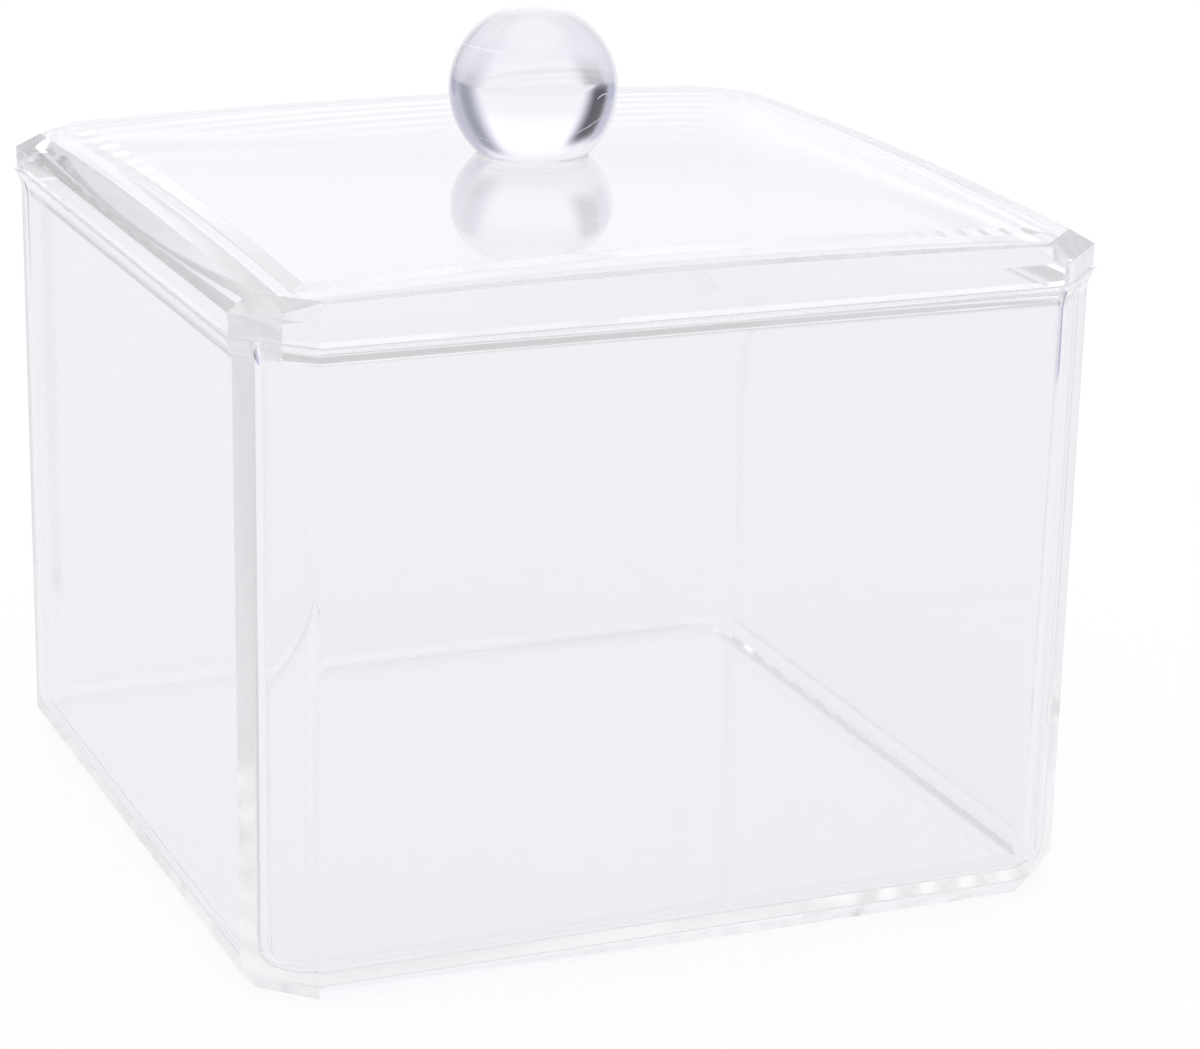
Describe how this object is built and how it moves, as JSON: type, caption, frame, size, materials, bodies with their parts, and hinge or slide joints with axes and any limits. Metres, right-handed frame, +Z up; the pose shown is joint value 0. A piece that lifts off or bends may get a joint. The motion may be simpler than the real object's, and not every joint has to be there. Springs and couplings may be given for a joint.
{
  "type": "lidded canister",
  "caption": "Clear moulded square canister with cut corners, a flared rim, a lift-off crowned lid and a ball knob.",
  "frame": {"origin": "middle of the base, on the surface the box stands on", "axes": "+Z up, -Y out of the front face, +X to the right of the front face"},
  "size_m": [0.094, 0.094, 0.09],
  "materials": {
    "box_plastic": "clear injection-moulded plastic, polished",
    "lid_plastic": "clear injection-moulded plastic, polished",
    "cement": "clear set solvent cement",
    "knob_plastic": "clear cast plastic, polished, with fine handling scratches"
  },
  "bodies": {
    "box": {"box_body": "box_plastic"},
    "lid": {"lid": "lid_plastic", "knob_cement": "cement", "ball_knob": "knob_plastic"}
  },
  "joints": [
    {"name": "lid_lift", "type": "slide", "parent": "box", "child": "lid", "axis": [0, 0, 1], "range_m": [0, 0.06]}
  ]
}
